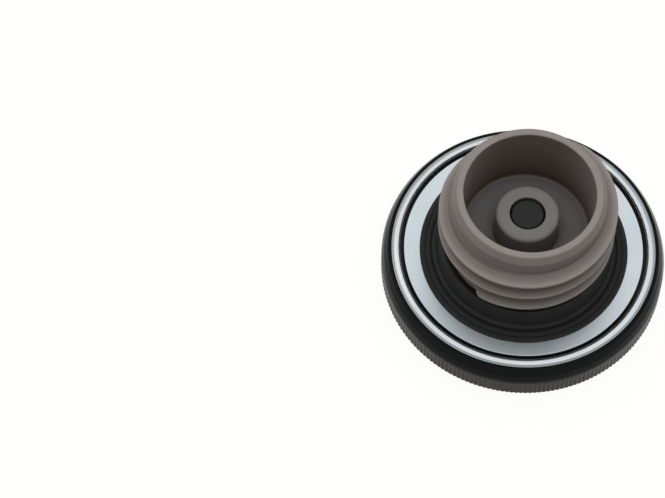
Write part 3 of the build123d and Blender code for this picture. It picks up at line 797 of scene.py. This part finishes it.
pressure_coil = coil_spring(
    "pressure_coil", "pressure_spring", "neck_assembly",
)
vacuum_coil = coil_spring(
    "vacuum_coil", "vacuum_spring", "pressure_valve",
)

# %% [markdown]
# ## Material helpers
#
# A colour picked on a screen is an sRGB value, and Blender's shaders work with linear light, so
# one function turns the one into the other. A second small function adds a node, sets what it is
# given and links what it is given. The scale of a pattern comes from the size that it has on the
# real surface: a noise texture repeats about once per 1 / scale metres. No real finish is even, so
# three more functions turn such a noise into what the finishes here share: a colour that drifts, a
# gloss that varies and a skin with a fine relief.

# %% Material helpers
def linear(hex_colour):
    """Linear RGBA of an sRGB hex colour."""
    parts = [int(hex_colour[i:i + 2], 16) / 255 for i in (1, 3, 5)]
    return tuple(v / 12.92 if v <= 0.04045 else ((v + 0.055) / 1.055) ** 2.4 for v in parts) + (1.0,)


def per_mm(size):
    """Texture scale for a feature of that many millimetres."""
    return 1 / (size * MM)


def add_node(tree, kind, inputs=None, **settings):
    """Adds a node. Each input is a value, or a node's output socket, which is linked."""
    node = tree.nodes.new(kind)
    for name, value in settings.items():
        setattr(node, name, value)
    for name, value in (inputs or {}).items():
        if isinstance(value, bpy.types.NodeSocket):
            tree.links.new(value, node.inputs[name])
        else:
            node.inputs[name].default_value = value
    return node


def new_material(name):
    """Empty material with its tree and the coordinates of the object that wears it."""
    material = bpy.data.materials.new(name)
    material.use_nodes = True
    tree = material.node_tree
    tree.nodes.clear()
    place = add_node(tree, "ShaderNodeTexCoord").outputs["Object"]
    return material, tree, place


def surface(tree, shader):
    """Links a shader to the material's output."""
    add_node(tree, "ShaderNodeOutputMaterial", {"Surface": shader.outputs[0]})


def dress(target, *materials):
    """Gives an object these materials in place of its own."""
    target.data.materials.clear()
    for material in materials:
        target.data.materials.append(material)


def face_place(face):
    """Radius and height of a face's centre, in millimetres."""
    return math.hypot(face.center.x, face.center.y) / MM, face.center.z / MM


print("linear mid grey:", [round(v, 3) for v in linear("#808080")])

# %% Uneven finishes
NOISE_SPAN = (0.3, 0.7)          # nearly all of a noise's values lie between these


def mottled(tree, place, size, detail, colour, other_colour):
    """Colour that drifts between two in patches of that many millimetres."""
    patches = add_node(
        tree, "ShaderNodeTexNoise", {"Vector": place, "Scale": per_mm(size), "Detail": detail}
    )
    tone = add_node(
        tree, "ShaderNodeMix",
        {"Factor": patches.outputs["Fac"], "A": linear(colour), "B": linear(other_colour)},
        data_type="RGBA",
    )
    return tone.outputs["Result"]


def varied(tree, place, size, detail, low, high, span=NOISE_SPAN):
    """Value that varies from low to high, over spots of that many millimetres."""
    spots = add_node(
        tree, "ShaderNodeTexNoise", {"Vector": place, "Scale": per_mm(size), "Detail": detail}
    )
    value = add_node(
        tree, "ShaderNodeMapRange",
        {"Value": spots.outputs["Fac"], "From Min": span[0], "From Max": span[1],
         "To Min": low, "To Max": high},
    )
    return value.outputs["Result"]


def fine_relief(tree, place, size, detail, depth):
    """Normal of a skin whose bumps have that size and depth in millimetres."""
    bumps = add_node(
        tree, "ShaderNodeTexNoise", {"Vector": place, "Scale": per_mm(size), "Detail": detail}
    )
    skin = add_node(
        tree, "ShaderNodeBump",
        {"Height": bumps.outputs["Fac"], "Strength": 1.0, "Distance": depth * MM},
    )
    return skin.outputs["Normal"]


print("spots of 2 mm have scale", per_mm(2.0))

# %% [markdown]
# ## Black stoving enamel
#
# The cover is dipped and stoved: a thin, hard, deep black film that flows out almost flat before
# it sets. What tells it from plastic is that its reflections stay crisp but waver a little, from
# the film's long, low waves. On the knurl the film is duller, and its colour is painted paler
# and browner towards the outer face: a painted sheen for the light that the steep ribs catch.
# Two materials and a choice by each face's place say that.

# %% Black stoving enamel
def stoving_enamel(name, colour, roughness, wave_height, shine, painted_sheen_colour=None):
    """Gloss enamel with the long low waves of a flowed film, and a painted sheen down the rim if asked."""
    material, tree, place = new_material(name)
    gloss = varied(
        tree, place, size=0.7, detail=4.0, low=roughness, high=roughness + 0.08, span=(0.35, 0.75)
    )
    film = fine_relief(tree, place, size=4.0, detail=2.0, depth=wave_height)
    tone = linear(colour)
    # Painted sheen: the colour pales towards the knurl's outer face.
    if painted_sheen_colour:
        spot = add_node(tree, "ShaderNodeSeparateXYZ", {"Vector": place})
        sheen_share = add_node(
            tree, "ShaderNodeMapRange",
            {"Value": spot.outputs["Z"], "From Min": KNURL_TOP * MM,
             "From Max": (KNURL_TOP - KNURL_FADE) * MM},
            interpolation_type="SMOOTHSTEP",
        )
        blend = add_node(
            tree, "ShaderNodeMix",
            {"Factor": sheen_share.outputs["Result"], "A": tone, "B": linear(painted_sheen_colour)},
            data_type="RGBA",
        )
        tone = blend.outputs["Result"]
    shader = add_node(
        tree, "ShaderNodeBsdfPrincipled",
        {"Base Color": tone, "Roughness": gloss, "IOR": 1.5,
         "Specular IOR Level": shine, "Normal": film},
    )
    surface(tree, shader)
    return material


enamel = stoving_enamel(
    "black_stoving_enamel", "#060909", roughness=0.12, wave_height=0.02, shine=0.09
)
# The knurl's paler brown colour is a painted sheen.
rib_enamel = stoving_enamel(
    "enamel_on_the_knurl", "#060909", roughness=0.3, wave_height=0.01, shine=0.1,
    painted_sheen_colour="#2b2624",
)
dress(knurled_cover, enamel, rib_enamel)
rib_faces = 0
for face in knurled_cover.data.polygons:
    radius, height = face_place(face)
    if radius > SHOULDER_R and KNURL_START - KNURL_END_BEVEL < height < KNURL_TOP:
        face.material_index = 1
        rib_faces += 1
print("faces on the knurl:", rib_faces)

# %% [markdown]
# ## Zinc plate
#
# The ring and the washer are bright zinc plated steel. Zinc is a cool, slightly blue silver with
# a soft, milky reflection, because the plated layer is made of very small crystals. The parts
# were turned or stamped first, so faint rings run round them under the plating. The ring's flat
# flange is duller than its bead, and it is painted darker as painted shade beside the cover's
# black lip. The turned rings and the crystals are far too fine to show, so the rings are drawn
# about 2 mm apart, and the crystals a quarter of a millimetre wide, as a flicker in the roughness.

# %% Zinc plate
WAVE_PHASE = 20                  # radians that a wave texture turns through in one of its units


def zinc_plate(name, colour, shade, roughness, ring_spacing, ring_height):
    """Bright zinc with faint turned rings and a soft cloudiness."""
    material, tree, place = new_material(name)
    rings = add_node(
        tree, "ShaderNodeTexWave",
        {"Vector": place, "Scale": 2 * math.pi / WAVE_PHASE * per_mm(ring_spacing),
         "Distortion": 1.5, "Detail": 2.0},
        wave_type="RINGS", rings_direction="Z",
    )
    clouds = mottled(tree, place, size=9.0, detail=3.0, colour=colour, other_colour=shade)
    crystals = varied(
        tree, place, size=0.25, detail=2.0, low=roughness - 0.05, high=roughness + 0.05
    )
    cut = add_node(
        tree, "ShaderNodeBump",
        {"Height": rings.outputs["Fac"], "Strength": 1.0, "Distance": ring_height * MM},
    )
    shader = add_node(
        tree, "ShaderNodeBsdfPrincipled",
        {"Base Color": clouds, "Metallic": 1.0, "Roughness": crystals,
         "Normal": cut.outputs["Normal"]},
    )
    surface(tree, shader)
    return material


ring_zinc = zinc_plate(
    "zinc_on_the_ring", "#dbdfe1", "#cbd1d4", roughness=0.22, ring_spacing=1.885, ring_height=0.002
)
washer_zinc = zinc_plate(
    "zinc_on_the_washer", "#d3dce0", "#c5ced4", roughness=0.36, ring_spacing=2.513,
    ring_height=0.002,
)
# Painted shade: the ring's flange is a darker zinc than its bead.
flange_zinc_painted_shade = zinc_plate(
    "zinc_painted_shade_on_flange", "#9ba0a3", "#8e9498", roughness=0.3, ring_spacing=1.885,
    ring_height=0.002,
)
dress(beaded_ring, ring_zinc, flange_zinc_painted_shade)
for face in beaded_ring.data.polygons:
    if face_place(face)[0] > RING_INNER_R + BEAD_WIDTH:
        face.material_index = 1
dress(bright_washer, washer_zinc)
dress(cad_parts["screws"], ring_zinc)
print("zinc materials:", ring_zinc.name, washer_zinc.name, flange_zinc_painted_shade.name)

# %% [markdown]
# ## Nylon
#
# The neck is moulded in glass-filled nylon of a warm brown grey. Fuel caps use it because petrol
# doesn't soften it. Its surface is satin: a fine spark-eroded grain from the mould, slightly
# mottled where the glass comes near the skin. Its colour is painted darker towards the bottom of
# the cup and between the turns: painted shade where little light gets in. The Ambient Occlusion
# node says how open each place is, and a power sets how fast the painted shade comes in. The cup
# has more painted shade down its far wall, and the crests of the thread get a painted highlight.
# Both follow from where a point is.

# %% Painted shade and painted highlight on nylon
PAINTED_SHADE = "#3d2317"
SHADE_REACH = 22.0               # mm: how far off a wall still darkens a place with painted shade
CORNER_REACH = 3.5               # mm: the same for the corners between the turns
FAR_WALL_SHADE_START = 7.0           # mm behind the axis where the painted shade on the cup's far wall comes in
PAINTED_HIGHLIGHT = "#b3aaa4"
HIGHLIGHT_SHARE = 0.3               # how much of that colour the very crest has
HIGHLIGHT_DEPTH = 1.6               # mm below the crest where the painted highlight starts
HIGHLIGHT_CREST = 0.1               # mm below the crest where it is at its full share


def painted_shade_colour(tree, place, unshaded_colour, shade_power, corner_power, far_wall_shade):
    """Colour with painted shade in closed places, and down the cup's far wall if asked."""
    share = None
    # Painted shade: Ambient Occlusion darkens the colour towards closed places.
    for reach, power in ((SHADE_REACH, shade_power), (CORNER_REACH, corner_power)):
        open_sky = add_node(tree, "ShaderNodeAmbientOcclusion", {"Distance": reach * MM}, samples=8)
        unshaded_share = add_node(tree, "ShaderNodeMath", {0: open_sky.outputs["AO"], 1: power}, operation="POWER")
        if share:
            unshaded_share = add_node(tree, "ShaderNodeMath", {0: share, 1: unshaded_share.outputs[0]}, operation="MULTIPLY")
        share = unshaded_share.outputs[0]
    blend = add_node(
        tree, "ShaderNodeMix", {"Factor": share, "A": linear(PAINTED_SHADE), "B": unshaded_colour},
        data_type="RGBA",
    )
    if not far_wall_shade:
        return blend.outputs["Result"]
    # Painted shade down the cup's far wall, deeper further behind the axis.
    spot = add_node(tree, "ShaderNodeSeparateXYZ", {"Vector": place})
    far_side = add_node(
        tree, "ShaderNodeMapRange",
        {"Value": spot.outputs["Y"], "From Min": FAR_WALL_SHADE_START * MM, "From Max": BORE_R * MM,
         "To Max": far_wall_shade},
        interpolation_type="SMOOTHSTEP",
    )
    far_wall_darkened = add_node(
        tree, "ShaderNodeMix",
        {"Factor": far_side.outputs["Result"], "A": blend.outputs["Result"], "B": linear(PAINTED_SHADE)},
        data_type="RGBA",
    )
    return far_wall_darkened.outputs["Result"]


def painted_crest_highlight(tree, place, colour):
    """Colour with a painted highlight that pales it towards the thread's crests."""
    flat = add_node(tree, "ShaderNodeVectorMath", {0: place, 1: (1, 1, 0)}, operation="MULTIPLY")
    radius = add_node(tree, "ShaderNodeVectorMath", {0: flat.outputs["Vector"]}, operation="LENGTH")
    share = add_node(
        tree, "ShaderNodeMapRange",
        {"Value": radius.outputs["Value"], "From Min": (CREST_R - HIGHLIGHT_DEPTH) * MM,
         "From Max": (CREST_R - HIGHLIGHT_CREST) * MM, "To Max": HIGHLIGHT_SHARE},
    )
    pale = add_node(
        tree, "ShaderNodeMix",
        {"Factor": share.outputs["Result"], "A": colour, "B": linear(PAINTED_HIGHLIGHT)},
        data_type="RGBA",
    )
    return pale.outputs["Result"]


# The colour of the painted shade, in linear light.
print("stain in linear light:", [round(v, 4) for v in linear(PAINTED_SHADE)[:3]])

# %% [markdown]
# ## Nylon on the neck's places
#
# One moulding, four looks: the barrel, the cup with painted shade down its far wall, the valve's
# housing in a greyer nylon, and the flange, painted near black as a painted shadow where it shows
# in the gap round the washer. A mesh can wear several materials, and each face says which by its
# number, so each face's place is enough to choose.

# %% Nylon
MOULD_GRAIN = 0.22               # mm


def moulded_nylon(name, colour, pale, shade_power, corner_power, far_wall_shade=0.0, crest_highlight=True):
    """Satin moulded nylon with a fine mould grain, a soft mottle and painted shade in its hollows."""
    material, tree, place = new_material(name)
    unshaded_colour = mottled(tree, place, size=6.0, detail=5.0, colour=colour, other_colour=pale)
    # Painted highlight: the colour pales towards the thread's crests.
    if crest_highlight:
        unshaded_colour = painted_crest_highlight(tree, place, unshaded_colour)
    shader = add_node(
        tree, "ShaderNodeBsdfPrincipled",
        {"Base Color": painted_shade_colour(tree, place, unshaded_colour, shade_power, corner_power, far_wall_shade),
         "Roughness": varied(tree, place, MOULD_GRAIN, detail=3.0, low=0.46, high=0.58),
         "IOR": 1.53, "Specular IOR Level": 0.2,
         "Normal": fine_relief(tree, place, MOULD_GRAIN, detail=3.0, depth=0.008)},
    )
    surface(tree, shader)
    return material


barrel_nylon = moulded_nylon(
    "brown_grey_nylon", "#817a76", "#8a837e", shade_power=0.55, corner_power=1.2
)
cup_nylon = moulded_nylon(
    "cup_nylon_with_painted_shade", "#817a76", "#8a837e", shade_power=0.6, corner_power=1.4, far_wall_shade=0.34
)
housing_nylon = moulded_nylon(
    "grey_nylon", "#6b6866", "#72706e", shade_power=0.0, corner_power=0.8
)
# Painted shadow: the flange's faces in the gap round the washer are near black.
gap_shadow_nylon = moulded_nylon(
    "gap_shadow_nylon", "#161919", "#1f2323", shade_power=0.0, corner_power=0.0, crest_highlight=False
)
print("nylon materials:", barrel_nylon.name, cup_nylon.name, housing_nylon.name, gap_shadow_nylon.name)

# %% Nylon on the neck's places
BARREL, HOUSING, GAP_SHADOW, CUP = range(4)
HOUSING_R = CUP_FLOOR_R - 0.3
PLACE_MARGIN = 0.5               # mm past a place's height that still counts as the place
GAP_SHADOW_R = SPIGOT_R + 1.0


def nylon_at(radius, height):
    """Which of the neck's materials a face has, by its place."""
    if radius < HOUSING_R and CUP_FLOOR - PLACE_MARGIN < height < BOSS_TOP + PLACE_MARGIN:
        return HOUSING
    if radius < BORE_R and height > CUP_FLOOR - PLACE_MARGIN:
        return CUP
    return GAP_SHADOW if radius > GAP_SHADOW_R else BARREL


dress(threaded_neck, barrel_nylon, housing_nylon, gap_shadow_nylon, cup_nylon)
for face in threaded_neck.data.polygons:
    face.material_index = nylon_at(*face_place(face))
dress(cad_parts["spring_retainer"], barrel_nylon)
for screw_boss in screw_bosses:
    dress(screw_boss, barrel_nylon)
housing_faces = [face for face in threaded_neck.data.polygons if face.material_index == HOUSING]
print("faces of the cup's floor and boss:", len(housing_faces))

# %% [markdown]
# ## Rubber
#
# The gasket and the valve's seal are black nitrile rubber, pressed in a mould and left matt. New
# rubber carries a faint grey bloom and traces of talc, most of all where it was handled. In the
# folds near the neck an Ambient Occlusion node takes the colour down to near black: painted
# shade where the thread overhangs the rubber.

# %% Rubber
RUBBER_SHADE = "#040404"
RUBBER_SHADE_REACH = 12.0                # mm: how far off a wall still darkens the rubber with painted shade
RUBBER_SHADE_POWER = 2.0


def nitrile_rubber(name, colour, bloom_colour):
    """Matt black rubber with a faint grey bloom and painted shade in its folds."""
    material, tree, place = new_material(name)
    tone = add_node(
        tree, "ShaderNodeMix",
        {"Factor": varied(tree, place, size=5.0, detail=6.0, low=0.0, high=0.5, span=(0.5, 0.8)),
         "A": linear(colour), "B": linear(bloom_colour)},
        data_type="RGBA",
    )
    # Painted shade: Ambient Occlusion darkens the rubber near the neck.
    open_sky = add_node(tree, "ShaderNodeAmbientOcclusion", {"Distance": RUBBER_SHADE_REACH * MM}, samples=8)
    unshaded_share = add_node(tree, "ShaderNodeMath", {0: open_sky.outputs["AO"], 1: RUBBER_SHADE_POWER}, operation="POWER")
    shaded_rubber = add_node(
        tree, "ShaderNodeMix",
        {"Factor": unshaded_share.outputs[0], "A": linear(RUBBER_SHADE), "B": tone.outputs["Result"]},
        data_type="RGBA",
    )
    shader = add_node(
        tree, "ShaderNodeBsdfPrincipled",
        {"Base Color": shaded_rubber.outputs["Result"], "Roughness": 0.55, "IOR": 1.52,
         "Specular IOR Level": 0.15,
         "Normal": fine_relief(tree, place, size=0.3, detail=3.0, depth=0.01)},
    )
    surface(tree, shader)
    return material


rubber = nitrile_rubber("nitrile_rubber", "#2a2b2a", "#3b3c3c")
dress(rubber_gasket, rubber)
dress(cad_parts["valve_seal"], rubber)
print("rubber on:", rubber_gasket.name, "and the valve's seal")

# %% [markdown]
# ## Acetal and spring steel
#
# Acetal is the slippery plastic of ratchets and valves: milky white as it comes, or black. It
# looks a little waxy, with a broad soft shine. The springs, the clip and the bowed washer are bare
# spring steel with a trace of oil. The wire is drawn through a die, which leaves marks along it
# that are too fine to show, so they are drawn as specks of 0.15 mm in the roughness.

# %% Acetal
WAX_SPOTS = 0.8                  # mm


def acetal(name, colour, roughness):
    """Slightly waxy moulded acetal."""
    material, tree, place = new_material(name)
    shader = add_node(
        tree, "ShaderNodeBsdfPrincipled",
        {"Base Color": linear(colour),
         "Roughness": varied(
             tree, place, WAX_SPOTS, detail=3.0, low=roughness - 0.05, high=roughness + 0.05),
         "IOR": 1.48, "Specular IOR Level": 0.25,
         "Normal": fine_relief(tree, place, WAX_SPOTS, detail=3.0, depth=0.006)},
    )
    surface(tree, shader)
    return material


black_acetal = acetal("black_acetal", "#1c1c1c", roughness=0.42)
white_acetal = acetal("natural_acetal", "#dedbd0", roughness=0.35)
dress(vent_plug, black_acetal)
for node in ("ratchet_ring", "slip_ring"):
    dress(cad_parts[node], black_acetal)
for node in ("pawl_plate", "pressure_disc"):
    dress(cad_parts[node], white_acetal)
print("acetal materials:", black_acetal.name, white_acetal.name)


# %% Spring steel
def spring_steel(name):
    """Drawn spring steel with faint draw marks."""
    material, tree, place = new_material(name)
    draw_marks = varied(tree, place, size=0.15, detail=2.0, low=0.22, high=0.4)
    shader = add_node(
        tree, "ShaderNodeBsdfPrincipled",
        {"Base Color": linear("#a8a9aa"), "Metallic": 1.0, "Roughness": draw_marks},
    )
    surface(tree, shader)
    return material


steel = spring_steel("spring_steel")
for node in ("spring_washer", "stem_clip"):
    dress(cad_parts[node], steel)
for coil in (pressure_coil, vacuum_coil):
    dress(coil, steel)
print("spring steel on:", pressure_coil.name, vacuum_coil.name, "and two packed pieces")

# %% [markdown]
# ## Floor, light and background
#
# The cap stands on a plain white table that runs out of sight. A table lit to pure white would
# throw too much light back up at the cap. So the table glows white for the rays that show it, and
# what the lamps find there is grey, which keeps a faint shadow and little bounce.

# %% Floor
FLOOR_SIZE = 12.0                # metres
FLOOR_DROP = 0.02                # mm between the table and the cap's foot
GLOW_SHARE = 0.93                # how much of the table's white doesn't depend on the light
TABLE_WHITE = "#fbfbf8"          # the table as it shows
TABLE_GLOW = "#fffffd"
TABLE_SHADE = "#626260"          # the table as the light finds it, which keeps its bounce low

floor_mesh = bpy.data.meshes.new("table_top")
half_floor = FLOOR_SIZE / 2
floor_mesh.from_pydata(
    [(-half_floor, -half_floor, 0), (half_floor, -half_floor, 0),
     (half_floor, half_floor, 0), (-half_floor, half_floor, 0)],
    [], [(0, 1, 2, 3)],
)
floor = bpy.data.objects.new("table_top", floor_mesh)
bpy.context.scene.collection.objects.link(floor)
floor.location.z = cad_box[0].z - FLOOR_DROP * MM
print("floor at, mm:", round(floor.location.z / MM, 3))


# %% White paper
def shown_rays(tree):
    """1 for the rays that show a background: straight, mirrored or through glass."""
    rays = add_node(tree, "ShaderNodeLightPath")
    shown = add_node(
        tree, "ShaderNodeMath", {0: rays.outputs["Is Camera Ray"], 1: rays.outputs["Is Glossy Ray"]},
        operation="ADD",
    )
    shown_too = add_node(
        tree, "ShaderNodeMath", {0: shown.outputs[0], 1: rays.outputs["Is Transmission Ray"]},
        operation="ADD", use_clamp=True,
    )
    return shown_too.outputs[0]


paper, paper_tree, _ = new_material("white_paper")
seen = shown_rays(paper_tree)
paper_tone = add_node(
    paper_tree, "ShaderNodeMix", {"Factor": seen, "A": linear(TABLE_SHADE), "B": linear(TABLE_WHITE)},
    data_type="RGBA",
)
matt = add_node(paper_tree, "ShaderNodeBsdfDiffuse", {"Color": paper_tone.outputs["Result"]})
glow = add_node(paper_tree, "ShaderNodeEmission", {"Color": linear(TABLE_GLOW), "Strength": 1.0})
glow_share = add_node(paper_tree, "ShaderNodeMath", {0: seen, 1: GLOW_SHARE}, operation="MULTIPLY")
lit_paper = add_node(paper_tree, "ShaderNodeMixShader", {"Fac": glow_share.outputs[0]})
paper_tree.links.new(matt.outputs[0], lit_paper.inputs[1])
paper_tree.links.new(glow.outputs[0], lit_paper.inputs[2])
surface(paper_tree, lit_paper)
dress(floor, paper)
print("paper's share of glow:", GLOW_SHARE)

# %% [markdown]
# ## Light
#
# The light is that of a room with a pale ceiling: brightest overhead, a little to the back, and
# nearly dark near the table. That is what makes the inside of the cup fall off so fast and leaves
# the walls darker than the rims. An HDRI could do it, but a gradient by the steepness of each ray
# has a few numbers that can be read. The background itself still shows as plain white. One soft
# panel stands at the left and lifts that side a little.

# %% Surround
SKY_LEAN = (0.0, 0.12, 0.993)    # towards the brightest part of the surround
SKY_FALL = 2.0                   # how fast it darkens away from there
HORIZON_LIGHT = 0.05
ZENITH_LIGHT = 2.05
WORLD_SHOWN = 1.0

world = bpy.data.worlds.new("studio")
bpy.context.scene.world = world
world.use_nodes = True
sky = world.node_tree
sky.nodes.clear()
way = add_node(sky, "ShaderNodeTexCoord")
steepness = add_node(
    sky, "ShaderNodeVectorMath", {0: way.outputs["Generated"], 1: SKY_LEAN}, operation="DOT_PRODUCT"
)
above = add_node(sky, "ShaderNodeMath", {0: steepness.outputs["Value"], 1: 0.0}, operation="MAXIMUM")
overhead = add_node(sky, "ShaderNodeMath", {0: above.outputs[0], 1: SKY_FALL}, operation="POWER")
lighting = add_node(
    sky, "ShaderNodeMapRange",
    {"Value": overhead.outputs[0], "To Min": HORIZON_LIGHT, "To Max": ZENITH_LIGHT},
)
level = add_node(
    sky, "ShaderNodeMapRange",
    {"Value": shown_rays(sky), "To Min": lighting.outputs["Result"], "To Max": WORLD_SHOWN},
)
backdrop = add_node(
    sky, "ShaderNodeBackground", {"Color": linear("#ffffff"), "Strength": level.outputs["Result"]}
)
add_node(sky, "ShaderNodeOutputWorld", {"Surface": backdrop.outputs[0]})
print("light at the horizon and overhead:", HORIZON_LIGHT, ZENITH_LIGHT)

# %% Side panel
PANEL_PLACE = (-0.75, 0.35, 0.75)    # metres
PANEL_AIM = (0, 0, 0.02)
PANEL_SIZE = (0.6, 0.6)
PANEL_POWER = 0.6                    # watts


def soft_panel(name, place, aim, size, power):
    """Rectangular area lamp that points at a place. Sizes are metres, power is watts."""
    lamp = bpy.data.lights.new(name, "AREA")
    lamp.shape = "RECTANGLE"
    lamp.size, lamp.size_y = size
    lamp.energy = power
    holder = bpy.data.objects.new(name, lamp)
    holder.location = place
    holder.rotation_euler = (Vector(aim) - Vector(place)).to_track_quat("-Z", "Y").to_euler()
    bpy.context.scene.collection.objects.link(holder)
    return holder


soft_panel("side_panel", PANEL_PLACE, PANEL_AIM, PANEL_SIZE, PANEL_POWER)
